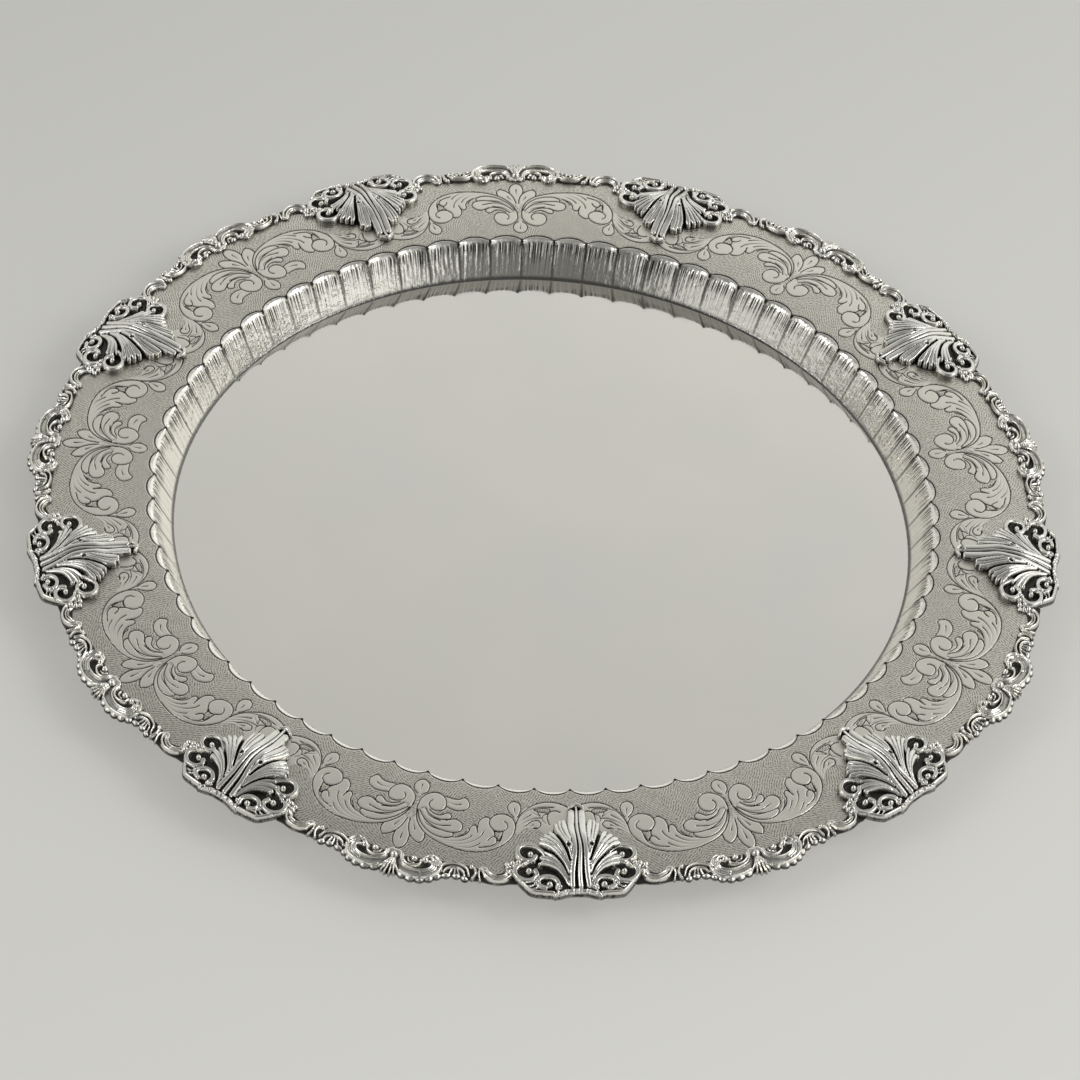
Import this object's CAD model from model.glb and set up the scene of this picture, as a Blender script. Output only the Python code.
"""Silver offering plate: a fluted well, a chased rim, and a cast border with acanthus cartouches.

All shapes are worked out in millimetres and written to Blender in metres, in the CAD model's frame.
Ornament is drawn on the rim in "sheet coordinates": x runs clockwise round the plate, measured on the
guide circle, and y runs outward from that circle.
"""
import math
import bpy
import numpy as np
from mathutils import Matrix, Vector


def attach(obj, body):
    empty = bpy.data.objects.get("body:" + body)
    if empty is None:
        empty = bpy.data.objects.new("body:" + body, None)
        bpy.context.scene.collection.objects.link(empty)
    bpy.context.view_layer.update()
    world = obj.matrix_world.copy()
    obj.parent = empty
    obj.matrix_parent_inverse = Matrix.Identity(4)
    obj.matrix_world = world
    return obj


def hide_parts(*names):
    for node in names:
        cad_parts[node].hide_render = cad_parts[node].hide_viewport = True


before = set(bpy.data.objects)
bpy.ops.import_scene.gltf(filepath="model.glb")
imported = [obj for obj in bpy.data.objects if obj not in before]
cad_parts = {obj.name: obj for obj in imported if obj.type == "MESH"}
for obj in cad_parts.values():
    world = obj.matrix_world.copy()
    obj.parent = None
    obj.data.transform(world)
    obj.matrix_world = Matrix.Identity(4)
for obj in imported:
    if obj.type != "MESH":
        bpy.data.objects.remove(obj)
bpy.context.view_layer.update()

# ---- The plate's driving dimensions, the same as the CAD model's, in millimetres ----
MM = 0.001
STATIONS = 9
PITCH = 360 / STATIONS
FLUTES = 72
GUIDE_R = 171.3
SHEET_T = 1.2
FLOOR_R = 147.0
BEND_R = 155.0
WELL_DEPTH = 15.0
BEND_FILLET = 1.0
RIM_R = 198.0
CROWN_R = 298.0
RIM_TOP = SHEET_T + WELL_DEPTH
WALL_SLOPE = math.atan2(WELL_DEPTH, BEND_R - FLOOR_R)
CROWN_X = BEND_R + (BEND_FILLET + SHEET_T) * math.tan(WALL_SLOPE / 2)

# ---- Chasing ----
ARCH_Y = -13.9          # crown of a flute's head
CUSP_DROP = 3.1         # how much nearer the well the cusps lie
LINE_DEPTH = 0.30
LINE_W = 0.26
LEAF_RISE = 0.07        # how far the smooth leaves stand above the matted ground
HATCH_PITCH = 0.95
HATCH_DEPTH = 0.05
EXTRA_LEAF_SECTIONS = (2, 6, 7, 8, 9)

# ---- Colours, linear ----
SILVER = (0.87, 0.845, 0.785)
SILVER_CLOUDED = (0.83, 0.815, 0.775)
SILVER_LEAF = (0.76, 0.735, 0.665)
GROUND_DULL = (0.69, 0.665, 0.59)
GROUND_BRIGHT = (0.82, 0.795, 0.71)
OXIDE = (0.030, 0.029, 0.027)
UNDER_TONE = 0.55       # how dark the sides and backs of the castings are
SHARP_ANGLE = math.radians(60)


def rim_z(r):
    """Height of the rim's crowned top at radius r."""
    flat = np.maximum(r - CROWN_X, 0.0)
    return RIM_TOP - CROWN_R + np.sqrt(CROWN_R ** 2 - flat ** 2)


def station_angle(k):
    return -90 + PITCH * (k - 1)


# ---------------------------------------------------------------- mesh helpers

def grid_faces(rows, cols, wrap=False):
    """Quads over a grid of vertices stored row by row."""
    r = np.arange(rows - 1)[:, None]
    c = np.arange(cols if wrap else cols - 1)[None, :]
    n = (c + 1) % cols
    quad = np.stack([r * cols + c, r * cols + n, (r + 1) * cols + n, (r + 1) * cols + c], -1)
    return quad.reshape(-1, 4)


class Solid:
    """Collects the vertices, faces and tone of one piece, in millimetres."""

    def __init__(self):
        self.verts, self.tone, self.quads, self.polys = [], [], [], []
        self.count = 0

    def add(self, verts, tone, quads=(), polys=()):
        start = self.count
        self.verts.append(np.asarray(verts, float))
        self.tone.append(np.broadcast_to(np.asarray(tone, float), len(verts)))
        if len(quads):
            self.quads.append(np.asarray(quads) + start)
        self.polys += [[i + start for i in p] for p in polys]
        self.count += len(verts)

    def build(self, name, material, nodes, slot, turn=0.0, tint=None):
        verts = np.concatenate(self.verts) * MM
        if turn:
            c, s = math.cos(math.radians(turn)), math.sin(math.radians(turn))
            verts = np.stack([c * verts[:, 0] - s * verts[:, 1],
                              s * verts[:, 0] + c * verts[:, 1], verts[:, 2]], -1)
        quads = np.concatenate(self.quads) if self.quads else np.zeros((0, 4), int)
        sizes = np.concatenate([np.full(len(quads), 4), [len(p) for p in self.polys]]).astype(int)
        corners = np.concatenate([quads.ravel()] + [np.asarray(p) for p in self.polys]).astype(int)
        mesh = bpy.data.meshes.new(name)
        mesh.vertices.add(len(verts))
        mesh.vertices.foreach_set("co", verts.ravel())
        mesh.loops.add(len(corners))
        mesh.loops.foreach_set("vertex_index", corners)
        mesh.polygons.add(len(sizes))
        mesh.polygons.foreach_set("loop_start", np.concatenate([[0], np.cumsum(sizes)[:-1]]))
        mesh.update(calc_edges=True)
        mesh.polygons.foreach_set("use_smooth", np.ones(len(sizes), bool))
        tone = mesh.attributes.new("tone", "FLOAT", "POINT")
        tone.data.foreach_set("value", np.concatenate(self.tone).astype(np.float32))
        if tint is not None:
            extra = mesh.attributes.new("matt", "FLOAT", "POINT")
            extra.data.foreach_set("value", tint.astype(np.float32))
        mesh.validate()
        mesh.materials.append(material)
        obj = bpy.data.objects.new(name, mesh)
        bpy.context.scene.collection.objects.link(obj)
        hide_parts(*nodes)
        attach(obj, "root")
        return obj


def spline(points, per=7):
    """A smooth curve through a few points."""
    p = np.asarray(points, float)
    if len(p) < 3:
        t = np.linspace(0, 1, per + 1)[:, None]
        return p[0] + (p[-1] - p[0]) * t
    ends = np.vstack([2 * p[0] - p[1], p, 2 * p[-1] - p[-2]])
    out = []
    for i in range(len(p) - 1):
        a, b, c, d = ends[i:i + 4]
        t = np.linspace(0, 1, per, endpoint=False)[:, None]
        out.append(0.5 * (2 * b + (c - a) * t + (2 * a - 5 * b + 4 * c - d) * t ** 2
                          + (3 * b - a - 3 * c + d) * t ** 3))
    return np.vstack(out + [p[-1:]])


def smooth_step(value, low, high):
    t = np.clip((value - low) / (high - low), 0, 1)
    return t * t * (3 - 2 * t)


def inside_outline(points, x, y):
    """Which of these places lie inside a closed outline."""
    inside = np.zeros(x.shape, bool)
    for (x0, y0), (x1, y1) in zip(points, np.roll(points, -1, 0)):
        if y0 != y1:
            inside ^= ((y0 > y) != (y1 > y)) & (x < (x1 - x0) * (y - y0) / (y1 - y0) + x0)
    return inside


def to_segment(x, y, a, b):
    """How far along the line from a to b each place lies, from 0 to 1, and how far away from it."""
    d = b[:2] - a[:2]
    t = np.clip(((x - a[0]) * d[0] + (y - a[1]) * d[1]) / max(d @ d, 1e-9), 0, 1)
    return t, np.hypot(x - a[0] - t * d[0], y - a[1] - t * d[1])


class Drawing:
    """Square cells over a patch of the sheet, which ornament is drawn on."""

    CELL = 0.12

    def __init__(self, x_range, y_range):
        self.x = np.arange(*x_range, self.CELL)
        self.y = np.arange(*y_range, self.CELL)

    def window(self, points, margin):
        """The rows and columns that lie within a margin of these points."""
        low, high = points.min(0) - margin, points.max(0) + margin
        i = np.searchsorted(self.y, [low[1], high[1]])
        j = np.searchsorted(self.x, [low[0], high[0]])
        return slice(*i), slice(*j)

    def cells(self, window):
        return np.meshgrid(self.x[window[1]], self.y[window[0]])

    def read(self, field, x, y):
        """Reads a field at these sheet coordinates, between its cells."""
        fx = np.clip((x - self.x[0]) / self.CELL, 0, field.shape[1] - 1.001)
        fy = np.clip((y - self.y[0]) / self.CELL, 0, field.shape[0] - 1.001)
        ix, iy = fx.astype(int), fy.astype(int)
        fx, fy = fx - ix, fy - iy
        low = field[iy, ix] * (1 - fx) + field[iy, ix + 1] * fx
        high = field[iy + 1, ix] * (1 - fx) + field[iy + 1, ix + 1] * fx
        return low * (1 - fy) + high * fy


# ---------------------------------------------------------------- chased ornament

class Chasing(Drawing):
    """The chased ornament over half a section: how deep the line is, and where the metal stays smooth."""

    PUNCH_CELLS = 7         # width of the punch that rounds the leaves' edges

    def __init__(self):
        super().__init__((-2.0, 62.0), (-15.0, 28.0))
        self.line = np.zeros((len(self.y), len(self.x)))
        self.leaf = np.zeros_like(self.line)

    def fill(self, points, value=1.0):
        """Clears the lines inside an outline, and marks it as smooth leaf (1) or matted ground (0)."""
        w = self.window(points, 0.1)
        inside = inside_outline(points, *self.cells(w))
        self.line[w][inside] = 0
        self.leaf[w][inside] = value

    def cut(self, points, ends=(1.0, 1.0)):
        """Chases a line, whose depth and width go from ends[0] to ends[1]."""
        strength = np.linspace(*ends, len(points))
        for k in range(len(points) - 1):
            w = self.window(points[k:k + 2], 1.1)
            t, dist = to_segment(*self.cells(w), points[k], points[k + 1])
            power = strength[k] + (strength[k + 1] - strength[k]) * t
            here = power * np.exp(-(dist / (LINE_W * (0.55 + 0.45 * power))) ** 2)
            self.line[w] = np.maximum(self.line[w], here)

    def lobe(self, *curves, veins=(), root=()):
        """A leaf lobe: smooth curves joined end to end, left open at its root, with tapering veins."""
        path = np.vstack([spline(c) for c in curves])
        self.fill(np.vstack([path, *[np.asarray(root, float).reshape(-1, 2)]]))
        self.cut(path)
        for vein in veins:
            self.cut(spline(vein), ends=(0.25, 1.0))

    def pocket(self, *points):
        """A patch of matted ground inside the foliage."""
        path = spline([*points, points[0]])
        self.fill(path, 0.0)
        self.cut(path, ends=(0.9, 0.9))

    def soften(self):
        """The leaves' edges are rounded by the punch: a running mean, twice each way."""
        soft = self.leaf
        n = self.PUNCH_CELLS
        for axis in (0, 1, 0, 1):
            pad = np.repeat(np.take(soft, [0], axis), n, axis)
            run = np.cumsum(np.concatenate([pad, soft], axis), axis)
            soft = (run[n:] - run[:-n] if axis == 0 else run[:, n:] - run[:, :-n]) / n
            soft = np.roll(soft, -(n // 2), axis)
        self.soft = soft

    def sample(self, x, y):
        """Line, leaf and rounded leaf at these sheet coordinates."""
        return [self.read(field, x, y) for field in (self.line, self.leaf, self.soft)]


def chase_section(extra_leaf):
    """Draws the foliage of half a section, from its centre line out to the middle of a cartouche."""
    c = Chasing()
    # trefoil over the pinch
    c.lobe([(1.0, 8), (2.2, 13.5), (2.6, 17.5), (1.8, 20.8), (0, 22.4),
            (-1.8, 20.8), (-2.6, 17.5), (-2.2, 13.5)],
           root=[(0, 4)], veins=[[(0, 13), (0, 17.8)]])
    c.lobe([(0.5, 8), (1.1, 11.6), (2.4, 14.8), (4.4, 17), (6.3, 17.9)],
           [(6.3, 17.9), (7.4, 16), (7.3, 13.4), (6.4, 11)],
           root=[(3, 6)], veins=[[(1.8, 9), (3.6, 12.6)]])
    # drop under the pinch
    c.lobe([(0.8, -4.2), (2.6, -6.2), (3.0, -8.8), (1.8, -10.9), (0, -11.7), (-1.8, -10.9), (-3, -8.8)],
           root=[(0, -3)], veins=[[(0, -5.6), (0, -9)]])
    # drop under the outer volute
    c.lobe([(38.0, -2.0), (35.9, -4.6), (35.2, -6.9), (36, -8.9), (37.6, -9.9)],
           [(37.6, -9.9), (39.7, -8.9), (40.6, -6.6), (40.1, -4), (39.2, -2.2)],
           root=[(38.6, 0)], veins=[[(38.7, -2.6), (38.0, -6.2)]])
    # fan that runs under the cartouche
    c.lobe([(38.8, 1.6), (39.6, -1.4), (41.6, -5), (45, -8.2), (49.5, -9.9), (54, -9.6), (58, -7.8),
            (61, -5)],
           root=[(61, 6), (50, 6), (46.8, 2.6), (43.6, 3.2), (41, 4.4), (38.9, 6.6)],
           veins=[[(38.9, 6.6), (41, 4.4), (43.6, 3.0), (46.8, 2.8)],
                  [(39.5, 4.6), (42.2, 1.8), (45.3, 0.5)],
                  [(39.6, 3.0), (42.2, 0.2), (45.6, -1.8), (49, -2.3)],
                  [(39.9, 1.0), (42.0, -1.6), (44.6, -3.7)]])
    c.cut(spline([(40.6, -2.2), (42.4, -4.9), (45.2, -6.6), (49, -7.5), (53.4, -7.2)]), ends=(0.4, 1))
    c.pocket((45.6, -6.1), (47.6, -5.2), (51.2, -4.7), (51.9, -6.4), (49, -6.9))
    c.lobe([(42.6, 1.6), (44.8, -0.4), (47.2, -0.9), (48.4, 0.6), (47.5, 2.4), (45.6, 2.6)],
           root=[(43.4, 3.2)], veins=[[(43.6, 2.2), (45.6, 1.0)]])
    c.cut(spline([(44.2, -5.2), (46.6, -3.9), (48.2, -3.0), (47.4, -4.5), (47.0, -5.6)]), ends=(0.4, 1))
    c.cut(spline([(50.2, 0.6), (48.9, -1.4), (49.4, -3.4), (51.0, -4.2)]), ends=(0.5, 1))
    c.lobe([(51.6, 1), (50.9, -2), (51.6, -4.8), (53.8, -5.7), (55.8, -4.9)], root=[(58, -2), (56, 2)])
    # outer stem, its volute and the two long fingers under it
    stem = spline([(0.9, -1), (1.0, 2.4), (2.9, 8), (6.7, 12.5), (12, 15.2), (18, 16.5), (24, 16.6),
                   (30, 14.9), (34.8, 11.3), (37.8, 6.8), (38.7, 2.2), (37.6, -1.2), (35, -2.9),
                   (32.2, -2.9), (29.6, -1.3), (28.5, 1.4), (29.3, 3.8), (31.5, 5.3), (34, 4.9),
                   (35.6, 3.2), (35.4, 1.4), (34.4, 0.4)])
    c.fill(np.vstack([stem[:-14], [(31, 8), (31, 12), (24, 14), (14, 13), (8, 10), (3, 4)]]))
    fingers = spline([(17.6, 11.6), (20.3, 9.8), (21.6, 7.6), (21.8, 5.6), (22.7, 4.3), (23.8, 4.5),
                      (24.5, 6.2)])
    long_finger = spline([(24.7, 7.4), (24.3, 3.8), (24.7, 1.6), (26, 0), (27.4, -0.6), (28.7, 0.0)])
    c.fill(np.vstack([fingers, long_finger[2:],
                      [(30, 4.2), (31.2, 7.8), (30, 11), (26, 15), (18, 15), (13, 14)]]))
    c.cut(stem)
    c.cut(fingers)
    c.cut(long_finger)
    c.cut(spline([(29.1, 3.4), (30.8, 5.6), (31.3, 7.8)]))
    c.lobe([(26.6, 14.0), (30.4, 12.7), (32.2, 10.8), (32.1, 8.8), (31, 8.0), (29.9, 8.8), (29.1, 10.2)],
           root=[(25, 13)])
    c.pocket((31.3, 7.7), (32.3, 8.7), (33.0, 9.9), (33.6, 7.8), (34.1, 5.3), (32.4, 5.7), (31.1, 5.6))
    for vein in ([(14, 14.2), (18.5, 13.3), (21.4, 11.4), (23, 9.4)],
                 [(15, 15.0), (20, 14.3), (23.8, 11.8), (26.2, 8.9), (27.0, 6.4)],
                 [(17, 15.6), (22.3, 15.3), (24.9, 13.8), (26.5, 12.2)],
                 [(27, 16.0), (31, 13.4), (33.4, 10.2), (34, 7.2)],
                 [(10, 12.6), (15.6, 12.4), (19, 10.4), (20.6, 8)]):
        c.cut(spline(vein), ends=(0.2, 1))
    # inner leaf: three fingers, then its volute
    c.lobe([(1.5, 3), (3.7, 7.6), (7, 11), (10.5, 12.7), (13.7, 12.9), (16, 11.8), (16.6, 10.3),
            (15.4, 9.4), (13.6, 9.9)],
           root=[(5, 2)], veins=[[(3.6, 5.6), (6.6, 8.8), (11.2, 9.8)]])
    c.lobe([(2.2, 3), (5.6, 7), (9.6, 9.2), (13.6, 9.9), (16.6, 9.6), (18.6, 8.2), (19, 6.1),
            (18, 4.3), (16, 3.4), (14, 4), (12.4, 5)],
           root=[(6, 1)],
           veins=[[(3, 3.6), (6, 6.6), (10, 8), (14.6, 7)], [(3.2, 1.6), (6, 4.6), (10.6, 5.8)]])
    c.lobe([(3.6, 1), (6, 3.8), (9, 5.0), (11.7, 4.9), (13.6, 3.9), (13.9, 2.3), (12.7, 1.3), (11.4, 2),
            (9.8, 3.2), (7.6, 3.1), (5.4, 1.8)],
           root=[(4, 0)])
    if extra_leaf:
        c.lobe([(10.4, -1.9), (13, -0.9), (16.2, -0.8), (19, -2.4), (20, -4.8), (18.9, -7)],
               [(18.9, -7), (17.4, -7.6), (15.6, -6.3), (13.2, -5.8), (10, -6.1)],
               root=[(9, -4)], veins=[[(11.6, -3.3), (14.4, -3.2), (16.6, -4)]])
    volute = spline([(0.95, 1.5), (1.0, -2), (2.6, -4.9), (5.4, -6.7), (8.2, -6.6), (10.3, -4.7),
                     (11, -1.9), (10.1, 0.6), (8.1, 1.6), (6.1, 1.2), (4.8, -0.2), (4.7, -1.9),
                     (5.4, -2.9)])
    c.fill(volute[:64])
    c.cut(volute)
    c.soften()
    return c


PATTERNS = {extra: chase_section(extra) for extra in (False, True)}


def arch_y(angle):
    """Sheet y of the line over a flute's head, at an angle in degrees from any cusp."""
    u = 2 * ((angle * FLUTES / 360) % 1.0) - 1
    bow = 0.93
    return ARCH_Y - CUSP_DROP * (1 - np.sqrt(1 - (bow * u) ** 2)) / (1 - math.sqrt(1 - bow ** 2))


def hatch(x, y, seed):
    """Fine matting punched in short strokes, whose direction changes from patch to patch."""
    patch = 8.0
    wave = 2.2 * np.sin(0.31 * y + seed) + 1.6 * np.sin(0.23 * x + 2 * seed)
    cell = np.floor((x + wave) / patch) * 7.31 + np.floor((y - wave) / patch) * 3.17 + seed
    turn = np.sin(cell * 12.9898) * 43758.5453
    turn = 0.65 + 0.55 * (turn - np.floor(turn)) + np.where(np.sin(cell * 4.1) > 0.2, 1.6, 0.0)
    along = x * np.cos(turn) + y * np.sin(turn)
    across = -x * np.sin(turn) + y * np.cos(turn)
    wobble = 0.8 * np.sin(across * 0.9 + cell) + 0.5 * np.sin(along * 0.53 - cell)
    main = np.sin(2 * math.pi * along / HATCH_PITCH + 1.6 * wobble)
    dash = np.sin(2 * math.pi * across / (2.1 * HATCH_PITCH) + 3.0 * np.sin(0.8 * along + cell))
    grain = np.random.default_rng(seed).uniform(-1, 1, x.shape)
    return 0.8 * main * (0.55 + 0.45 * dash) + 0.28 * grain


def rim_sector(k, material):
    """One ninth of the chased rim, from cartouche to cartouche, as a slab as thick as the sheet."""
    cols, rows, low_rows = 541, 171, 5
    half = PITCH / 2
    angle = np.linspace(-half, half, cols)
    edge = RIM_R - 0.2 - GUIDE_R
    start = arch_y(angle + half)
    t = np.linspace(0, 1, rows) ** 1.06
    x = np.radians(angle) * GUIDE_R
    y = start[None, :] + (edge - start)[None, :] * t[:, None]
    x = np.broadcast_to(x, y.shape)
    # the drawing wanders a little, as it does when chased by hand
    wx = 0.45 * np.sin(0.09 * x + 1.7 * k) + 0.3 * np.sin(0.21 * y + 2.3 * k + 0.05 * x)
    wy = 0.4 * np.sin(0.07 * x + 2.9 * k) + 0.25 * np.sin(0.13 * x - 1.1 * k)
    line, leaf, soft = PATTERNS[k in EXTRA_LEAF_SECTIONS].sample(np.abs(x + wx), y + wy)
    # a line along the flutes' heads, and a punched dot at each cusp
    arch = np.exp(-((y - start) / 0.5) ** 2)
    flute_width = math.radians(360 / FLUTES) * GUIDE_R
    beside_cusp = (x + half / 360 * 2 * math.pi * GUIDE_R + flute_width / 2) % flute_width - flute_width / 2
    punch = np.exp(-((beside_cusp ** 2 + (y - ARCH_Y + CUSP_DROP - 0.2) ** 2) / 1.2 ** 2) ** 2)
    line = np.maximum(line, np.maximum(arch, punch))
    r = GUIDE_R + y
    ground = (1 - leaf) * (1 - line)
    strokes = hatch(x, y, k)
    dents = 0.03 * np.sin(0.5 * x + k) * np.sin(0.43 * y + 2 * k) * (1 - arch)
    ornament = LEAF_RISE * soft * (1 - arch) + HATCH_DEPTH * ground * strokes
    z = rim_z(r) - LINE_DEPTH * line + ornament + dents
    turn = np.radians(90 - angle)[None, :]
    top = np.stack([r * np.cos(turn), r * np.sin(turn), z], -1).reshape(-1, 3)
    dark = np.maximum(smooth_step(line, 0.28, 0.6), ground * smooth_step(-strokes, -0.25, 0.6) * 0.74)
    under = []
    for s in np.linspace(1, 0, low_rows):
        ru = GUIDE_R + start + (edge - start) * s
        under.append(np.stack([ru * np.cos(turn[0]), ru * np.sin(turn[0]), rim_z(ru) - SHEET_T], -1))
    under = np.concatenate(under)
    solid = Solid()
    solid.add(np.concatenate([top, under]), np.concatenate([dark.ravel(), np.zeros(len(under))]),
              grid_faces(rows + low_rows, cols), slab_ends(rows, low_rows, cols))
    matt = np.concatenate([(1 - leaf).ravel(), np.full(len(under), 0.5)])
    middle = station_angle(k) + PITCH / 2
    return solid.build(f"rim_chased_{k}", material, ["tray_body"], "chased_sheet", middle - 90, matt)


def slab_ends(top_rows, low_rows, cols, wrap=False):
    """The polygons that close a slab whose grid runs over the top and back under it."""
    rows = top_rows + low_rows
    last = (rows - 1) * cols
    c = np.arange(cols if wrap else cols - 1)
    n = (c + 1) % cols
    join = [list(q) for q in np.stack([last + c, last + n, n, c], -1)]
    if wrap:
        return join
    left = [i * cols for i in range(rows)]
    right = [i * cols + cols - 1 for i in range(rows - 1, -1, -1)]
    return join + [left, right]


# ---------------------------------------------------------------- the well

def well_floor(material):
    """The polished floor of the well: a thin disc with the faint waves that planishing leaves."""
    cols, rings = 288, 61
    edge = FLOOR_R - 0.7
    radius = edge * np.linspace(0, 1, rings + 1)[1:]
    turn = np.linspace(0, 2 * math.pi, cols, endpoint=False)
    r, a = np.meshgrid(radius, turn, indexing="ij")
    x, y = r * np.cos(a), r * np.sin(a)
    fade = 1 - (r / edge) ** 4
    wave = 0.008 * np.sin(0.052 * x + 0.9 * np.sin(0.031 * y)) + 0.006 * np.sin(0.061 * y + 0.02 * x + 1.0)
    # the top runs outward ring by ring, and the underside comes back inward in fewer rings
    top = np.stack([x, y, SHEET_T + wave * fade], -1).reshape(-1, 3)
    low = np.stack([x, y, 0 * x], -1)[::-12].reshape(-1, 3)
    middles = [[0, 0, SHEET_T + wave[0].mean()], [0, 0, 0]]
    count = len(top) + len(low)
    inmost = count - cols
    fans = [[count, i, (i + 1) % cols] for i in range(cols)]
    fans += [[count + 1, inmost + (i + 1) % cols, inmost + i] for i in range(cols)]
    solid = Solid()
    solid.add(np.concatenate([top, low, middles]), 0.0, grid_faces(count // cols, cols, wrap=True), fans)
    return solid.build("well_floor", material, ["tray_body"], "chased_sheet")


def fluted_wall(material):
    """The well's wall: convex flutes between sharp grooves, each with a rolled, arched head."""
    per_flute, head_rows, wall_rows, foot_rows = 34, 8, 20, 4
    roll_width, roll_drop, pillow_height, foot_rise = 1.3, 0.5, 0.62, 0.55
    cols = FLUTES * per_flute
    turn = np.linspace(0, 2 * math.pi, cols, endpoint=False)
    u = 2 * ((np.arange(cols) % per_flute) / per_flute) - 1
    flute = np.arange(cols) // per_flute
    head_r = GUIDE_R + arch_y(np.arange(cols) * 360 / cols)
    top_r = head_r - 0.2 - roll_width * np.clip(1 - u ** 2, 0, 1) ** 0.6
    groove = np.exp(-((1 - np.abs(u)) / 0.10) ** 2)
    corner = np.exp(-((1 - np.abs(u)) / 0.15) ** 2)
    rows, tone = [], []
    # the head rolls over from the rim
    for t in np.linspace(0, 1, head_rows):
        roll = 1 - math.sqrt(1 - 0.96 * t * t)
        r = head_r + (top_r - head_r) * t
        dish = 0.2 * math.sin(math.pi * t) * (1 - u ** 4)
        crease = 0.28 * math.exp(-(t / 0.16) ** 2)
        z = rim_z(head_r) - crease - roll_drop * roll / 0.8 - dish - 0.3 * groove * t
        rows.append(np.stack([r, z], -1))
        tone.append(np.maximum(math.exp(-(t / 0.17) ** 2), smooth_step(corner, 0.3, 0.8)))
    # the wall swells between its grooves, with strokes that die away downward
    top_z = rows[-1][:, 1]
    bottom_r, bottom_z = FLOOR_R + 0.3, SHEET_T + foot_rise
    across, up = math.sin(WALL_SLOPE), math.cos(WALL_SLOPE)
    jitter = np.sin(flute * 12.9898 + 4.0) * 0.5 + 0.5
    for s in np.linspace(0, 1, wall_rows + 1)[1:]:
        line = np.sin(u * (5.5 + 2 * jitter) * math.pi + 9 * jitter + 1.5 * np.sin(3 * s + flute * 2.1))
        stroke = 0.085 * line * (1 - groove) * max(0.0, 1 - s) ** 0.5
        swell = 0.3 + 0.7 * math.sin(math.pi * min(1, 0.35 + 0.55 * s))
        out = pillow_height * (1 - u ** 2) * swell - 0.5 * groove * (1 - 0.5 * s) + stroke
        out = out * (1 - s ** 3) * smooth_step(s, 0.0, 0.12)
        rows.append(np.stack([top_r + (bottom_r - top_r) * s - out * across,
                              top_z + (bottom_z - top_z) * s + out * up], -1))
        grime = 0.9 * smooth_step(groove, 0.2, 0.8) * (1 - 0.4 * s)
        tone.append(np.maximum(grime, 0.8 * smooth_step(s, 0.93, 0.98)))
    # the foot runs out on the floor
    for s in np.linspace(0, 1, foot_rows + 1)[1:]:
        r = bottom_r - math.sin(s * WALL_SLOPE) / math.sin(WALL_SLOPE)
        rows.append(np.stack([np.full(cols, r), np.full(cols, SHEET_T + foot_rise * (1 - s) ** 2)], -1))
        tone.append(np.full(cols, 0.85 * math.cos(0.5 * math.pi * s ** 3)))
    # the back of the sheet
    for r, z in [(FLOOR_R - 0.7, 0.0), (FLOOR_R + 0.7, 0.0), (BEND_R + 0.6, RIM_TOP - SHEET_T - 0.3)]:
        rows.append(np.stack([np.full(cols, r), np.full(cols, z)], -1))
        tone.append(np.zeros(cols))
    rows.append(np.stack([head_r, rim_z(head_r) - SHEET_T], -1))
    tone.append(np.zeros(cols))
    grid = np.stack(rows)
    r, z = grid[..., 0], grid[..., 1]
    verts = np.stack([r * np.cos(turn), r * np.sin(turn), z], -1).reshape(-1, 3)
    solid = Solid()
    solid.add(verts, np.clip(np.concatenate(tone), 0, 1), grid_faces(len(rows), cols, wrap=True)[:, ::-1],
              [q[::-1] for q in slab_ends(len(rows) - 1, 1, cols, wrap=True)])
    scored = np.zeros((len(rows), cols))
    scored[head_rows + 1:head_rows + wall_rows] = 1.0
    return solid.build("fluted_wall", material, ["tray_body"], "chased_sheet", tint=scored.ravel())


# ---------------------------------------------------------------- castings

def round_top(s):
    return np.sqrt(np.clip(1 - s ** 2, 0, 1))


def pillow(s):
    """A broad flat top whose edges roll over."""
    return np.sqrt(np.clip(1 - s ** 4, 0, 1))


def grooved(s):
    """A strap with one fine groove along its middle."""
    return round_top(s) * (1 - 0.22 * np.exp(-(s / 0.3) ** 2))


def hollowed(s):
    """A strap with a raised lip on each side of a shallow channel."""
    return round_top(s) ** 0.7 * (0.62 + 0.38 * np.abs(s) ** 1.5)


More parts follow.
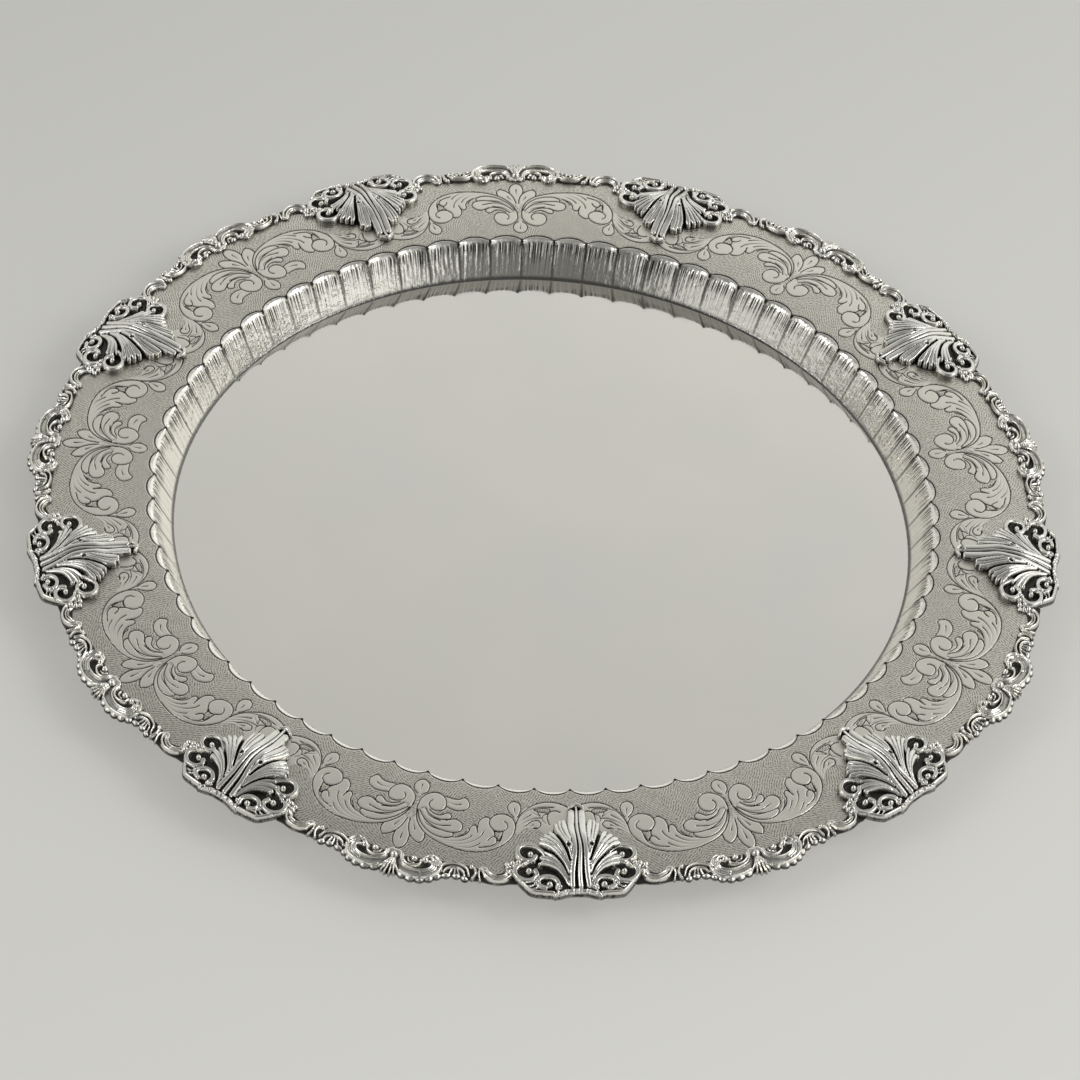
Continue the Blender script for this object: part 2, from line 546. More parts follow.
class Relief(Drawing):
    """A casting drawn as heights above the rim, over one half; the other half mirrors it."""

    GROUND = 0.25

    def __init__(self, width, low, high):
        super().__init__((-3.0, width + 1.0), (low - 1.0, high + 1.0))
        self.height = np.full((len(self.y), len(self.x)), self.GROUND)
        self.outside = np.full_like(self.height, 9.0)

    def strap(self, path, shape=round_top, per=6):
        """Lays a strap along (x, y, width, height, lift) on top of what is already there."""
        p = spline(path, per)
        w = self.window(p[:, :2], p[:, 2].max() / 2 + 1.2)
        gx, gy = self.cells(w)
        nearest = np.full(gx.shape, 99.0)
        level = np.zeros(gx.shape)
        edge = np.full(gx.shape, 99.0)
        for a, b in zip(p[:-1], p[1:]):
            t, dist = to_segment(gx, gy, a, b)
            half = (a[2] + (b[2] - a[2]) * t) / 2
            s = dist / half
            near = s < nearest
            nearest = np.where(near, s, nearest)
            tall = a[3] + (b[3] - a[3]) * t
            lift = a[4] + (b[4] - a[4]) * t
            level = np.where(near, lift + tall * shape(np.clip(s, 0, 1)), level)
            edge = np.minimum(edge, dist - half)
        self.height[w] = np.where(nearest < 1, level, self.height[w])
        self.outside[w] = np.minimum(self.outside[w], edge)

    def plate(self, points, level):
        """A flat ground inside an outline."""
        w = self.window(points, 0.6)
        gx, gy = self.cells(w)
        inside = inside_outline(points, gx, gy)
        edge = np.full(gx.shape, 99.0)
        for a, b in zip(points, np.roll(points, -1, 0)):
            edge = np.minimum(edge, to_segment(gx, gy, a, b)[1])
        old = self.height[w]
        self.height[w] = np.where(inside, np.maximum(level, old), old)
        self.outside[w] = np.minimum(self.outside[w], np.where(inside, -edge, edge))

    def bead(self, x, y, radius, height, lift=0.0):
        size = (2 * radius, height, lift)
        self.strap([(x - 0.01, y, *size), (x + 0.01, y, *size)], per=1)

    def drill(self, x, y, radius, depth, stretch=1.0):
        """A drilled eye, longer outward than across where stretch is over 1."""
        gx, gy = np.meshgrid(self.x, self.y)
        d = np.hypot(gx - x, (gy - y) / stretch) / radius
        self.height -= depth * np.exp(-d ** 4)

    def patina(self):
        """How dark each point has gone: the hollows and the sunk ground hold tarnish, the crests don't."""
        surface = np.where(self.outside < 0, self.height, self.GROUND)
        hollows = np.clip((blurred(surface, 5) - surface) / 0.55, 0, 1)
        hollows = hollows + np.clip((blurred(surface, 13) - surface) / 1.6, 0, 1)
        sunk = smooth_step(self.GROUND + 0.5 - surface, 0.0, 0.25)
        return np.clip(np.maximum(hollows, 0.9 * sunk), 0, 1)


def blurred(field, reach):
    """A field's running mean over a square of this many cells, twice each way."""
    out = field
    for axis in (0, 1, 0, 1):
        pad = [(0, 0), (0, 0)]
        pad[axis] = (reach + 1, reach)
        run = np.cumsum(np.pad(out, pad, mode="edge"), axis)
        size = 2 * reach + 1
        out = (run[size:] - run[:-size] if axis == 0 else run[:, size:] - run[:, :-size]) / size
    return out


def casting(relief, step, underside, wobble, seed):
    """Meshes a relief: square cells inside its outline, whose edge is drawn onto the outline itself."""
    high = relief.x[-1]
    x, y = np.meshgrid(np.arange(-high, high, step), np.arange(relief.y[0], relief.y[-1], step))

    def read(field, px, py):
        wx = px + wobble * np.sin(0.31 * py + 1.3 * seed) + 0.6 * wobble * np.sin(0.17 * px + 2.1 * seed)
        wy = py + 0.7 * wobble * np.sin(0.23 * px + 0.7 * seed)
        return relief.read(field, np.abs(wx), wy)

    out = read(relief.outside, x, y)
    gy, gx = np.gradient(out, step)
    rows, cols = np.nonzero((out[:-1, :-1] + out[1:, :-1] + out[:-1, 1:] + out[1:, 1:]) < 0)
    n = x.shape[1]
    corner = rows * n + cols
    quads = np.stack([corner, corner + 1, corner + n + 1, corner + n], -1)
    uses = np.bincount(quads.ravel(), minlength=out.size)
    used = uses > 0
    # points on the edge, which fewer than four cells share, move onto the outline
    rim = (used & (uses < 4)).reshape(out.shape)
    steepness = np.maximum(gx ** 2 + gy ** 2, 0.25)
    shift = np.clip(out / steepness, -0.7 * step, 0.7 * step) * rim
    x = x - shift * gx
    y = y - shift * gy
    height = read(relief.height, x - 0.5 * step * gx * rim, y - 0.5 * step * gy * rim)
    tone = read(relief.tone, x, y)
    low = np.minimum(underside(x, y), height - 0.3)
    count = used.sum()
    ids = np.full(out.size, -1)
    ids[used] = np.arange(count)
    top = on_sheet(x, y, height).reshape(-1, 3)[used]
    under = on_sheet(x, y, low).reshape(-1, 3)[used]
    quads = ids[quads]
    edges = np.concatenate([quads[:, [0, 1]], quads[:, [1, 2]], quads[:, [2, 3]], quads[:, [3, 0]]])
    key = edges.min(1) * count + edges.max(1)
    _, first, times = np.unique(key, return_index=True, return_counts=True)
    a, b = edges[first[times == 1]].T
    walls = np.stack([b, a, a + count, b + count], -1)
    solid = Solid()
    solid.add(np.concatenate([top, under]),
              np.concatenate([tone.ravel()[used], np.full(count, UNDER_TONE)]),
              np.concatenate([quads, quads[:, ::-1] + count, walls]))
    return solid


def on_sheet(x, y, h):
    """A point h above the rim's top, from sheet coordinates with the section's middle at +Y."""
    turn = math.pi / 2 - np.asarray(x) / GUIDE_R
    r = GUIDE_R + np.asarray(y)
    return np.stack([r * np.cos(turn), r * np.sin(turn), rim_z(r) + h], -1)


def hooked(x, y):
    """The underside of a casting that sits on the rim and hooks down over its edge."""
    past = np.clip((y - (RIM_R - GUIDE_R) + 0.6) / 0.5, 0, 1)
    return -0.15 - 0.3 * past


def beside(points, distance):
    """A strap's path moved sideways, to the left of the way it runs."""
    p = np.asarray(points, float)
    way = np.gradient(p[:, :2], axis=0)
    way = way / np.maximum(np.hypot(way[:, 0], way[:, 1]), 1e-6)[:, None]
    return p[:, :2] + distance * np.stack([-way[:, 1], way[:, 0]], -1)


def ridge(relief, points, width, height, lift=0.2, taper=0.75):
    """A raised line of even height that thins towards its ends."""
    count = len(points)
    path = []
    for i, (x, y) in enumerate(points):
        end = abs(2 * i / (count - 1) - 1) ** 3
        path.append((x, y, width * (1 - (1 - taper) * end), height * (1 - 0.25 * end), lift))
    relief.strap(path)


BIG_SCROLL = [(0.9, 24.6), (1.1, 27.4), (3.0, 30.2), (6.6, 31.6), (10.2, 31.5), (13.2, 29.9),
              (14.4, 27.2), (13.5, 25.0), (11.8, 24.0)]

# the ends of the short petals that line the border's outer edge
EDGE_PETALS = [
    (3.8, 33.0, 5.8, 33.3), (6.6, 33.8, 8.8, 33.7), (9.8, 33.7, 11.6, 33.2), (12.6, 32.9, 14.0, 31.9),
    (14.9, 31.4, 15.9, 30.2), (17.0, 29.9, 18.8, 29.4), (20.2, 29.2, 21.8, 29.2), (23.0, 29.5, 24.4, 29.9),
]


def draw_border():
    """Half a section of the border, from the shell in its middle out to the cartouche."""
    r = Relief(41, 20, 35.2)
    # the rail that everything stands on
    r.plate(spline([(-3, 24.4), (0, 24.4), (3.5, 24.6), (7, 24.2), (9.6, 23.8), (11, 23.4), (15, 23.6),
                    (20, 23.6), (26, 23.8), (30, 25.2), (33, 25.6), (36, 24.4), (38.5, 22.6), (41, 23),
                    (41, 28.4), (38, 29.0), (34, 30.0), (29, 29.4), (25, 29.6), (21, 28.8), (17.6, 30.2),
                    (14, 32.2), (9, 33.4), (4, 33.0), (0, 34), (-3, 33.0)], 4), 0.4)
    for x0, y0, x1, y1 in EDGE_PETALS:
        r.strap([(x0, y0, 1.3, 1.1, 0.1), ((x0 + x1) / 2, (y0 + y1) / 2 + 0.15, 1.9, 1.4, 0.1),
                 (x1, y1, 1.0, 1.0, 0.1)])
    # big scroll: a dished band between an outer and an inner ridge
    r.strap([(x, y, 3.7, 1.3, 0.2) for x, y in BIG_SCROLL], hollowed)
    for distance, width, height in ((1.55, 1.1, 2.3), (-1.5, 0.95, 2.1)):
        ridge(r, beside(BIG_SCROLL, distance), width, height)
    for distance in (0.75, 0.0, -0.75):
        ridge(r, beside(BIG_SCROLL[4:], distance), 0.75, 1.7)
    r.strap([(13.6, 25.0, 1.2, 1.9, 0.2), (12.0, 23.7, 1.4, 2.1, 0.2), (10.2, 24.2, 1.3, 2.1, 0.2)])
    r.bead(10.4, 25.0, 1.2, 1.9, 0.3)
    # small scroll inside it
    ridge(r, [(3.0, 24.6), (3.2, 26.6), (4.9, 28.4), (7.2, 28.5), (9.1, 27.2), (9.0, 25.2)], 1.25, 1.9)
    ridge(r, [(4.6, 25.2), (5.2, 26.7), (6.9, 27.0)], 0.8, 1.3)
    r.bead(6.8, 25.1, 1.1, 1.7, 0.2)
    r.drill(6.8, 25.1, 0.45, 1.0)
    # shell: thin ridges that spread from a bead, with a dark notch on each side
    for x, y in ((3.3, 32.6), (2.1, 33.7), (0.8, 34.4)):
        for side in (-1, 1):
            ridge(r, [(0.15 * x * side, 27.2), (0.5 * x * side, 30.4), (side * x, y)], 1.0, 2.3, 0.4)
    r.bead(0, 26.2, 1.5, 2.4, 0.4)
    # cup: two nested ridges with little tips inside
    ridge(r, [(15.0, 28.2), (16.2, 25.9), (18.4, 24.6), (21.0, 24.5), (23.6, 25.6), (24.8, 28.2)],
          1.15, 2.1)
    ridge(r, [(16.6, 28.6), (17.6, 26.9), (19.4, 26.0), (21.2, 26.0), (22.8, 27.1), (23.4, 28.8)],
          0.95, 1.7)
    for x in (18.6, 20.2, 21.7):
        ridge(r, [(20.1 + 0.6 * (x - 20.1), 26.6), (x, 28.7)], 0.8, 1.4)
    # upright curled bars between the cup and the arch
    ridge(r, [(24.9, 24.2), (26.3, 25.4), (26.7, 27.6), (25.9, 29.6)], 1.2, 2.2)
    ridge(r, [(28.0, 24.5), (27.8, 27.2), (28.5, 29.6)], 1.05, 1.9)
    r.bead(25.3, 24.4, 0.85, 1.7, 0.2)
    # arch next to the cartouche: one strong ridge and two fine ones that join it
    arch = [(28.6, 25.0), (30.0, 27.6), (32.6, 29.2), (35.4, 29.0), (37.6, 27.4), (38.8, 25.0)]
    r.strap([(x, y, 3.0, 1.2, 0.2) for x, y in beside(arch, -0.9)], hollowed)
    ridge(r, arch, 1.25, 2.4)
    ridge(r, [(29.8, 25.2), (31.2, 27.0), (33.4, 28.0), (35.6, 27.6), (37.2, 26.2)], 0.8, 1.8)
    ridge(r, [(30.9, 25.2), (32.3, 26.4), (34.2, 26.9), (36.0, 26.2), (37.4, 24.8)], 0.8, 1.6)
    # knob of little leaves against the cartouche
    for x, y, size in ((39.6, 22.2, 1.5), (37.6, 22.9, 1.3), (38.9, 20.6, 1.2), (37.0, 21.2, 1.0),
                       (38.4, 24.4, 1.3)):
        r.bead(x, y, size, 1.5 * size, 0.2)
    r.height = blurred(r.height, 1)
    r.tone = r.patina()
    return r


def coil(relief, points, width, height, lift=0.8):
    """A volute: a strap that keeps its width and gains height towards its eye."""
    count = len(points) - 1
    path = [(x, y, width, height * (0.85 + 0.15 * i / count), lift) for i, (x, y) in enumerate(points)]
    relief.strap(path, grooved)


def draw_cartouche():
    """Half of the scroll frame: a sunk ground, an outer bar, three volutes and beads."""
    r = Relief(24, 5, 36.0)
    r.plate(spline([(-3, 21), (3, 21), (8, 17.4), (10.2, 14.2), (12.0, 12.4), (15.6, 11.8), (19, 13.0),
                    (20.8, 16.0), (20.4, 20.6), (20.6, 24.6), (19.0, 27.8), (16.6, 31.2), (14.4, 33.0),
                    (8, 33.5), (3, 32.8), (0, 32.7), (-3, 32.7)], 4), 0.45)
    # outer bar, pitted like bark in the middle, with a small tip beside it
    r.strap([(-2, 32.2, 2.2, 2.6, 0.2), (2, 32.2, 2.2, 2.6, 0.2), (4, 32.6, 2.1, 2.7, 0.2),
             (6.4, 33.4, 2.0, 2.8, 0.2), (9, 33.2, 1.8, 2.8, 0.2), (13, 33.0, 1.7, 2.8, 0.2),
             (14.6, 32.5, 1.7, 2.7, 0.2), (16.4, 30.6, 1.7, 2.7, 0.2), (18.8, 27.4, 1.7, 2.7, 0.2),
             (20.3, 24.6, 1.6, 2.6, 0.2), (19.8, 22.6, 1.2, 2.2, 0.2)])
    for x, y, size in ((0.8, 32.6, 0.5), (2.2, 31.9, 0.4), (3.4, 32.7, 0.5), (4.9, 32.7, 0.4),
                       (-0.6, 31.9, 0.4)):
        r.drill(x, y, size, 1.0)
    r.strap([(6.2, 32.8, 1.6, 2.4, 0.4), (6.7, 33.6, 1.4, 2.3, 0.4), (7.3, 34.3, 0.8, 1.8, 0.3)])
    # corner leaf inside the bar
    ridge(r, [(12.2, 29.8), (12.8, 31.0), (14.2, 31.6)], 1.1, 2.0, 0.5)
    ridge(r, [(13.4, 29.4), (14.4, 30.4), (15.8, 30.2)], 1.0, 1.9, 0.5)
    # three volutes, each a strap that winds in on a ball
    coil(r, [(10.6, 17.0), (11.8, 14.9), (14, 13.0), (16.4, 12.5), (18.9, 13.7), (19.9, 16.2), (19, 18.7),
             (16.8, 19.9), (14.7, 19.3), (13.9, 17.7)], 2.1, 2.4)
    r.bead(15.6, 16.9, 1.25, 2.6, 0.8)
    coil(r, [(17.2, 21.0), (19.2, 22.4), (20.0, 24.9), (18.9, 27.3), (16.4, 28.5), (14.0, 27.8),
             (12.9, 25.9), (13.6, 24.1)], 2.1, 2.5)
    r.bead(15.6, 24.4, 1.25, 2.7, 0.8)
    coil(r, [(6.3, 31.0), (6.2, 28.4), (8, 26.4), (10.6, 26.3), (12.3, 28.0), (12.0, 30.3), (10.2, 31.2)],
         2.1, 2.4)
    r.bead(8.8, 29.6, 1.25, 2.5, 0.8)
    # small beads where they touch
    for x, y, size in ((19.4, 20.6, 1.1), (17.6, 21.4, 0.9), (12.4, 20.9, 0.9), (13.2, 29.2, 0.8),
                       (5.4, 30.4, 0.9)):
        r.bead(x, y, size, 2.0, 0.8)
    r.height = blurred(r.height, 1)
    r.tone = r.patina()
    return r


# heights along the leaf's middle line, from the tip of its tongue to its base
LEAF_PROFILE = (
    [-8, -5, 0, 6, 10, 14, 18, 24, 28, 31],
    [1.9, 2.0, 2.8, 4.1, 5.4, 6.2, 5.6, 3.9, 2.6, 1.8],
)


def leaf_crown(x, y):
    """Height of the leaf above the rim."""
    along = np.interp(y, *LEAF_PROFILE)
    return along - 0.012 * np.asarray(x) ** 2


# the lobes from the stem to the tongue: how far each stands above the crown, the deep gap that is
# cut before it is laid, and its fingers
LEAF_LOBES = [
    (-0.5, None,
     [[(3.4, 29), (4.6, 25.6), (6.8, 22.6), (9.6, 20.9), (12.4, 20.3)],
      [(3.3, 28), (4.6, 24.6), (7, 21.2), (10, 19.2), (12.9, 18.4)],
      [(3.1, 27), (4.5, 23.6), (6.8, 19.8), (9.4, 17.6), (11.6, 16.6)]]),
    (-0.05, [(3.6, 25.4), (5.0, 21.8), (7.9, 17.9), (11.2, 15.2)],
     [[(3.3, 24.6), (4.6, 21.0), (7.6, 16.8), (10.6, 13.8), (13.4, 12.4)],
      [(3.4, 23), (4.8, 19.6), (7.6, 15.2), (10.6, 12), (13, 10.4)],
      [(3.2, 22), (4.7, 18.4), (7.2, 13.8), (9.8, 10.6), (11.6, 8.8)],
      [(3.0, 21), (4.3, 17.4), (6.5, 12.6), (8.6, 9.4), (9.8, 7.4)]]),
    (0.25, [(3.2, 20.4), (4.8, 15.4), (6.6, 10.2), (7.9, 5.4)],
     [[(2.6, 20), (3.6, 15.6), (5.4, 10), (6.8, 6), (7.6, 3.2)],
      [(2.4, 19), (3.2, 14.6), (4.6, 8.8), (5.6, 4.4), (6.3, 1.6)],
      [(2.2, 18), (2.9, 12.6), (3.8, 8), (4.5, 4), (4.9, 1.4)]]),
]
LEAF_STEM = [(2.6, 29.8), (2.3, 24), (1.9, 18), (1.9, 10), (2.0, 4), (2.0, -3.4)]
LEAF_RIB = [(0, 30), (0, 18), (0, 8), (0, -1), (0, -6.6)]
# the skin between the fingers
LEAF_OUTLINE = [
    (-3, 29.8), (3.4, 29.8), (4.4, 25.6), (6.6, 22.8), (10.6, 20.4), (11.6, 18.2), (9.6, 16.6),
    (12.0, 13.2), (11.8, 10.4), (9.0, 8.6), (7.2, 8.6), (5.8, 10.8), (6.6, 5.2), (4.6, 2.6), (3.0, 4),
    (2.8, -3.4), (1.6, -6.4), (-3, -6.6),
]
# degrees by which a leaf was soldered on beside its frame's middle
LEAF_TURN = {1: 0.42}


def on_leaf(relief, points, widths, height, sink, shape=round_top):
    """Lays a strap along the leaf's crown, its foot this far below the crown's surface."""
    level = leaf_crown(*np.array(points, float).T)
    relief.strap([(x, y, w, height, z) for (x, y), w, z in zip(points, widths, level - sink)], shape)


def draw_leaf():
    """Half of the acanthus leaf: rounded fingers in four lobes, gathered into a ribbed stem."""
    r = Relief(15, -9.0, 31.5)
    skin = leaf_crown(*np.meshgrid(r.x, r.y)) - 1.5
    r.plate(spline(LEAF_OUTLINE, 4), 0.0)
    r.height[:] = skin
    for layer, gap, fingers in LEAF_LOBES:
        if gap:
            on_leaf(r, gap, (0.8, 1.3, 1.7, 2.4), 0.01, np.array((1.2, 1.8, 2.5, 3.6)))
        for finger in fingers:
            on_leaf(r, finger, (1.3, 1.8, 2.3, 2.45, 1.8), 1.0, 1.0 - layer, pillow)
    # the stem runs on into the tongue, with the middle rib on top
    on_leaf(r, LEAF_STEM, (1.7, 1.8, 1.9, 2.2, 3.0, 2.9), 1.0, 0.7, pillow)
    on_leaf(r, LEAF_RIB, (1.9, 1.7, 1.5, 1.4, 1.3), 1.4, 0.9)
    # the tongue's curled tip
    r.strap([(-2.6, -6.0, 1.5, 1.2, 1.2), (0, -7.3, 1.9, 1.5, 1.2), (2.6, -6.0, 1.5, 1.2, 1.2)])
    # a drilled eye with a raised edge beside the tongue
    r.drill(4.0, 14.4, 1.3, -0.3, 1.5)
    r.drill(4.0, 14.4, 0.62, 1.6, 1.6)
    r.height = blurred(r.height, 1)
    above = r.height - skin
    hollows = np.clip((blurred(above, 4) - above) / 0.20, 0, 1)
    hollows = hollows + np.clip((blurred(above, 12) - above) / 0.9, 0, 1)
    r.tone = np.clip(hollows, 0, 1)
    return r


def thin_leaf(x, y):
    """The leaf's underside, hollow behind its crown."""
    return np.maximum(0.3, leaf_crown(x, y) - 2.7)


def border_section(k, drawing, material):
    solid = casting(drawing, 0.18, hooked, 0.28, k)
    turn = station_angle(k) + PITCH / 2 - 90
    return solid.build(f"border_section_{k}", material, [f"rim_section_{k}"], "border_casting", turn)


def cartouche(k, drawing, material):
    solid = casting(drawing, 0.19, hooked, 0.22, k + 20)
    turn = station_angle(k) - 90
    return solid.build(f"cartouche_{k}", material, [f"scroll_frame_{k}"], "oxidised_frame", turn)


def acanthus(k, drawing, material):
    solid = casting(drawing, 0.15, thin_leaf, 0.25, k + 40)
    turn = station_angle(k) - 90 + LEAF_TURN.get(k, 0)
    return solid.build(f"leaf_{k}", material, [f"acanthus_leaf_{k}"], "bright_leaf", turn)


# ---------------------------------------------------------------- materials

class Nodes:
    """Short hands for building a node tree."""

    def __init__(self, name):
        self.mat = bpy.data.materials.new(name)
        self.mat.use_nodes = True
        self.tree = self.mat.node_tree
        self.bsdf = self.tree.nodes["Principled BSDF"]

    def new(self, kind, **inputs):
        node = self.tree.nodes.new(kind)
        for key, value in inputs.items():
            socket = node.inputs[key.replace("_", " ")]
            if isinstance(value, bpy.types.NodeSocket):
                self.tree.links.new(value, socket)
            else:
                socket.default_value = value
        return node

    def link(self, source, target):
        self.tree.links.new(source, target)

    def attribute(self, name):
        node = self.tree.nodes.new("ShaderNodeAttribute")
        node.attribute_name = name
        return node.outputs["Fac"]

    def position(self):
        return self.new("ShaderNodeTexCoord").outputs["Object"]

    def noise(self, scale, detail=3.0):
        node = self.new("ShaderNodeTexNoise", Vector=self.position(), Scale=scale, Detail=detail)
        return node.outputs["Fac"]

    def ramp(self, value, low, high, to_low, to_high):
        node = self.new("ShaderNodeMapRange", Value=value, From_Min=low, From_Max=high,
                        To_Min=to_low, To_Max=to_high)
        return node.outputs["Result"]

    def mix(self, factor, a, b):
        node = self.tree.nodes.new("ShaderNodeMix")
        node.data_type = "RGBA"
        for socket, value in ((node.inputs[0], factor), (node.inputs[6], a), (node.inputs[7], b)):
            if isinstance(value, bpy.types.NodeSocket):
                self.tree.links.new(value, socket)
            elif isinstance(value, tuple):
                socket.default_value = (*value, 1)
            else:
                socket.default_value = value
        return node.outputs[2]

    def math(self, operation, a, b):
        node = self.tree.nodes.new("ShaderNodeMath")
        node.operation = operation
        for socket, value in zip(node.inputs, (a, b)):
            if isinstance(value, bpy.types.NodeSocket):
                self.tree.links.new(value, socket)
            else:
                socket.default_value = value
        return node.outputs[0]

    def finish(self, colour, roughness, bump=None, strength=0.1, distance=0.0001):
        self.bsdf.inputs["Metallic"].default_value = 1.0
        self.link(colour, self.bsdf.inputs["Base Color"])
        self.link(roughness, self.bsdf.inputs["Roughness"])
        if bump is not None:
            node = self.new("ShaderNodeBump", Height=bump, Strength=strength, Distance=distance)
            self.link(node.outputs["Normal"], self.bsdf.inputs["Normal"])
        return self.mat


def polished_silver():
    """The mirror-bright floor, with faint clouds and smears."""
    n = Nodes("polished_silver")
    cloud = n.noise(14.0)
    colour = n.mix(n.ramp(cloud, 0.35, 0.7, 0.0, 1.0), SILVER, SILVER_CLOUDED)
    smear = n.ramp(n.noise(60.0, 6.0), 0.4, 0.75, 0.05, 0.11)
    return n.finish(colour, smear, n.noise(900.0, 2.0), 0.02)


def wall_silver():
    """Polished flutes, scored with fine strokes that run down the wall and are darkest near its top.

    The strokes reach down unevenly, and "matt" keeps them off the rolled heads.
    """
    n = Nodes("wall_silver")
    place = n.new("ShaderNodeSeparateXYZ", Vector=n.position())
    around = n.math("ARCTAN2", place.outputs["Y"], place.outputs["X"])
    along = n.math("ADD", n.math("MULTIPLY", around, 150.0), n.math("MULTIPLY", place.outputs["Z"], 60.0))
    streak = n.tree.nodes.new("ShaderNodeTexNoise")
    streak.noise_dimensions = "1D"
    n.link(along, streak.inputs["W"])
    streak.inputs["Scale"].default_value = 1.25
    streak.inputs["Detail"].default_value = 1.0
    scored = n.ramp(streak.outputs["Fac"], 0.47, 0.55, 0.0, 1.0)
    reach = n.math("MULTIPLY", n.noise(110.0, 1.0), 0.012)
    low, high = (RIM_TOP - 1) * MM, (RIM_TOP + 3) * MM
    upper = n.ramp(n.math("ADD", place.outputs["Z"], reach), low, high, 0.20, 0.95)
    upper = n.math("MULTIPLY", upper, n.attribute("matt"))
    tone = n.math("MAXIMUM", n.attribute("tone"), n.math("MULTIPLY", scored, upper))
    colour = n.mix(tone, SILVER, OXIDE)
    rough = n.ramp(n.noise(700.0, 4.0), 0.3, 0.7, 0.08, 0.18)
    mottle = n.math("MULTIPLY", n.noise(330.0, 3.0), 1.6)
    relief = n.math("ADD", n.math("MULTIPLY", streak.outputs["Fac"], upper), mottle)
    return n.finish(colour, rough, relief, 0.8, 0.0003)


def chased_silver():
    """Smooth leaves, hatched ground and black lines."""
    n = Nodes("chased_silver")
    matt = n.attribute("matt")
    grain = n.noise(1500.0, 3.0)
    ground = n.mix(n.ramp(grain, 0.35, 0.65, 0.0, 1.0), GROUND_DULL, GROUND_BRIGHT)
    colour = n.mix(matt, SILVER_LEAF, ground)
    colour = n.mix(n.attribute("tone"), colour, OXIDE)
    rough = n.math("ADD", n.math("MULTIPLY", matt, -0.02), 0.40)
    return n.finish(colour, rough, grain, 0.2)


def cast_silver(name, bright, dark, rough_low, rough_high):
    """Cast silver, bright on its crests and tarnished in its hollows."""
    n = Nodes(name)
    grime = n.ramp(n.noise(420.0, 5.0), 0.45, 0.8, 0.0, 0.25)
    tone = n.ramp(n.math("ADD", n.attribute("tone"), grime), 0.08, 0.85, 0.0, 1.0)
    colour = n.mix(tone, bright, dark)
    rough = n.ramp(tone, 0.0, 1.0, rough_low, rough_high)
    return n.finish(colour, rough, n.noise(900.0, 4.0), 0.1)


# ---------------------------------------------------------------- the pieces

polished = polished_silver()
walls = wall_silver()
chased = chased_silver()
border = cast_silver("border_silver", (0.87, 0.85, 0.79), (0.06, 0.058, 0.054), 0.15, 0.45)
oxidised = cast_silver("oxidised_silver", (0.78, 0.765, 0.715), (0.055, 0.053, 0.049), 0.16, 0.42)
bright = cast_silver("leaf_silver", (0.80, 0.785, 0.735), (0.05, 0.048, 0.045), 0.20, 0.40)

border_drawing = draw_border()
cartouche_drawing = draw_cartouche()
leaf_drawing = draw_leaf()
pieces = [well_floor(polished), fluted_wall(walls)]
for number in range(1, STATIONS + 1):
    pieces.append(rim_sector(number, chased))
    pieces.append(border_section(number, border_drawing, border))
    pieces.append(cartouche(number, cartouche_drawing, oxidised))
    pieces.append(acanthus(number, leaf_drawing, bright))
for piece in pieces:
    piece.data.set_sharp_from_angle(angle=SHARP_ANGLE)


# ---------------------------------------------------------------- studio

def studio_floor():
    """A plain pale table top that glows a little, so that the plate's shadow stays soft.

    It can be seen through from below, and lies just under the plate's flat bottom.
    """
    half, low = 6.0, -0.05 * MM
    corners = [(-half, -half, low), (half, -half, low), (half, half, low), (-half, half, low)]
    mesh = bpy.data.meshes.new("studio_floor")
    mesh.from_pydata(corners, [], [(0, 1, 2, 3)])
    obj = bpy.data.objects.new("studio_floor", mesh)
    bpy.context.scene.collection.objects.link(obj)
    n = Nodes("studio_paper")
    place = n.new("ShaderNodeSeparateXYZ", Vector=n.position())
    forward = n.math("SUBTRACT", n.math("MULTIPLY", place.outputs["X"], 0.7), place.outputs["Y"])
    n.bsdf.inputs["Base Color"].default_value = (0.47, 0.466, 0.445, 1)
    n.bsdf.inputs["Roughness"].default_value = 0.9
    n.bsdf.inputs["Emission Color"].default_value = (1.0, 0.99, 0.95, 1)
    n.link(n.ramp(forward, -0.5, 0.5, 0.172, 0.317), n.bsdf.inputs["Emission Strength"])
    clear = n.tree.nodes.new("ShaderNodeBsdfTransparent")
    geometry = n.tree.nodes.new("ShaderNodeNewGeometry")
    two_sided = n.tree.nodes.new("ShaderNodeMixShader")
    n.link(geometry.outputs["Backfacing"], two_sided.inputs[0])
    n.link(n.bsdf.outputs["BSDF"], two_sided.inputs[1])
    n.link(clear.outputs["BSDF"], two_sided.inputs[2])
    n.link(two_sided.outputs["Shader"], n.tree.nodes["Material Output"].inputs["Surface"])
    mesh.materials.append(n.mat)


def softbox(name, place, power):
    """A square soft light that faces the plate."""
    data = bpy.data.lights.new(name, "AREA")
    data.shape = "RECTANGLE"
    data.size = data.size_y = 1.1
    data.energy = power
    obj = bpy.data.objects.new(name, data)
    obj.location = place
    obj.rotation_euler = (-Vector(place)).to_track_quat("-Z", "Y").to_euler()
    bpy.context.scene.collection.objects.link(obj)


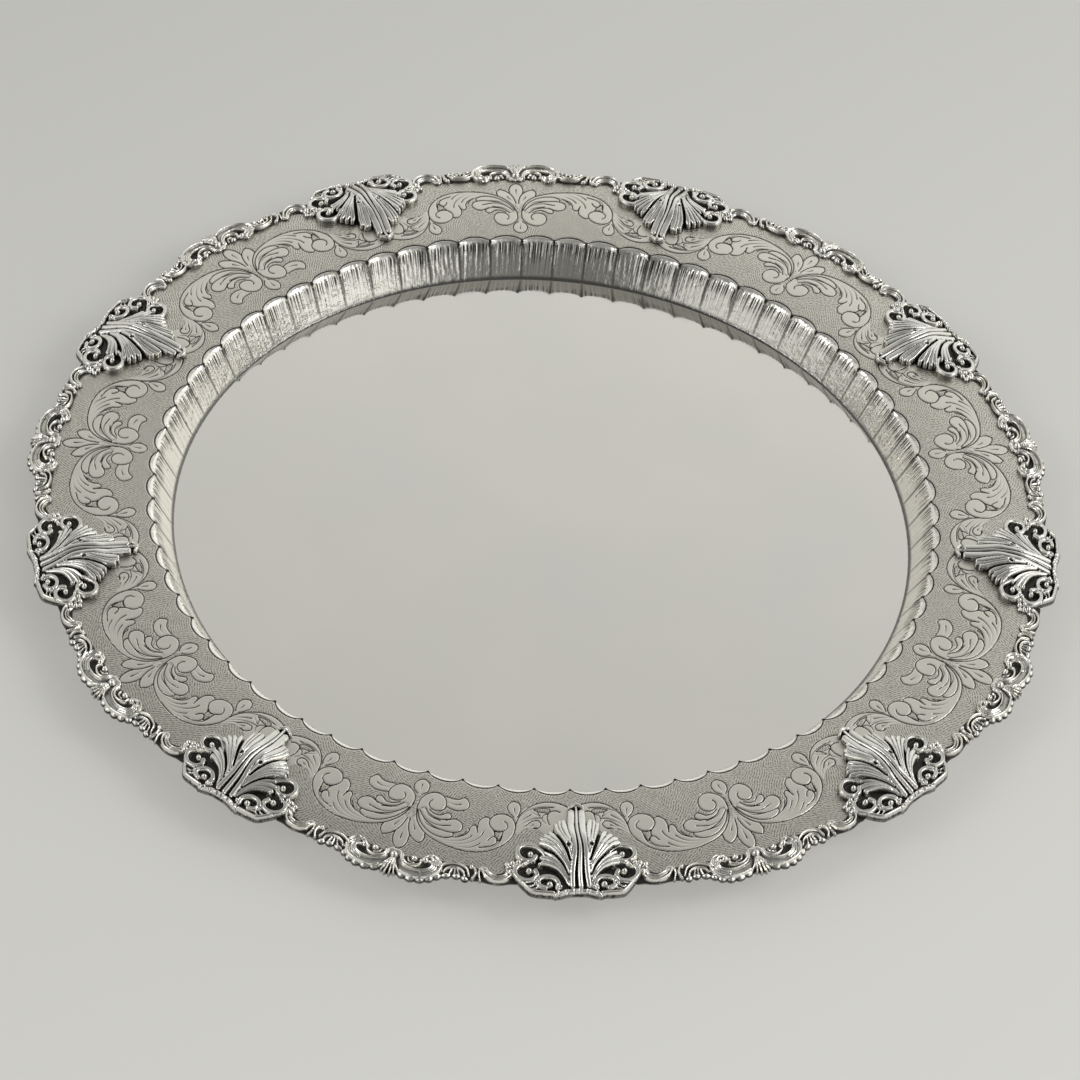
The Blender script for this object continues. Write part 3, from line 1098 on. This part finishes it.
def camera():
    """The viewpoint: 44 degrees above the table, a little round to the left, tilted 5 degrees."""
    azimuth, elevation, roll = math.radians(262.697), math.radians(44.355), math.radians(5.404)
    distance = 2.0217
    target = Vector((0, 0, (RIM_TOP - 0.4) * MM))
    away = Vector((math.cos(elevation) * math.cos(azimuth), math.cos(elevation) * math.sin(azimuth),
                   math.sin(elevation)))
    data = bpy.data.cameras.new("camera")
    data.lens = 169.9
    data.shift_x = -0.00437
    data.shift_y = -0.03664
    data.clip_end = 50
    obj = bpy.data.objects.new("camera", data)
    place = Matrix.Translation(target + distance * away)
    facing = (-away).to_track_quat("-Z", "Y").to_matrix().to_4x4()
    obj.matrix_world = place @ facing @ Matrix.Rotation(roll, 4, "Z")
    bpy.context.scene.collection.objects.link(obj)
    bpy.context.scene.camera = obj


def lighting():
    """A soft white room, dimmer overhead and in front, and a little brighter on the right."""
    world = bpy.data.worlds.new("studio")
    world.use_nodes = True
    tree = world.node_tree
    background = tree.nodes["Background"]
    where = tree.nodes.new("ShaderNodeTexCoord").outputs["Generated"]
    split = tree.nodes.new("ShaderNodeSeparateXYZ")
    tree.links.new(where, split.inputs[0])
    dot = tree.nodes.new("ShaderNodeVectorMath")
    dot.operation = "DOT_PRODUCT"
    tree.links.new(where, dot.inputs[0])
    dot.inputs[1].default_value = (0.0, -0.94, 0.34)

    def fade(value, low, high, to_low, to_high):
        node = tree.nodes.new("ShaderNodeMapRange")
        node.interpolation_type = "SMOOTHSTEP"
        tree.links.new(value, node.inputs["Value"])
        for key, number in zip(("From Min", "From Max", "To Min", "To Max"), (low, high, to_low, to_high)):
            node.inputs[key].default_value = number
        return node.outputs["Result"]

    def times(a, b):
        node = tree.nodes.new("ShaderNodeMath")
        node.operation = "MULTIPLY"
        tree.links.new(a, node.inputs[0])
        if isinstance(b, float):
            node.inputs[1].default_value = b
        else:
            tree.links.new(b, node.inputs[1])
        return node.outputs[0]

    overhead = fade(split.outputs["Z"], 0.45, 1.0, 1.0, 0.31)
    sideways = fade(split.outputs["X"], -0.5, 0.45, 0.82, 1.17)
    in_front = fade(dot.outputs["Value"], 0.72, 0.96, 1.0, 0.22)
    strength = times(in_front, times(sideways, times(overhead, 0.875)))
    tree.links.new(strength, background.inputs["Strength"])
    background.inputs["Color"].default_value = (0.985, 0.99, 0.965, 1)
    bpy.context.scene.world = world
    softbox("right", (1.9, -0.3, 1.5), 12)
    softbox("left", (-1.9, -0.4, 1.4), 8)


studio_floor()
lighting()
camera()
bpy.context.scene.view_settings.view_transform = "Standard"
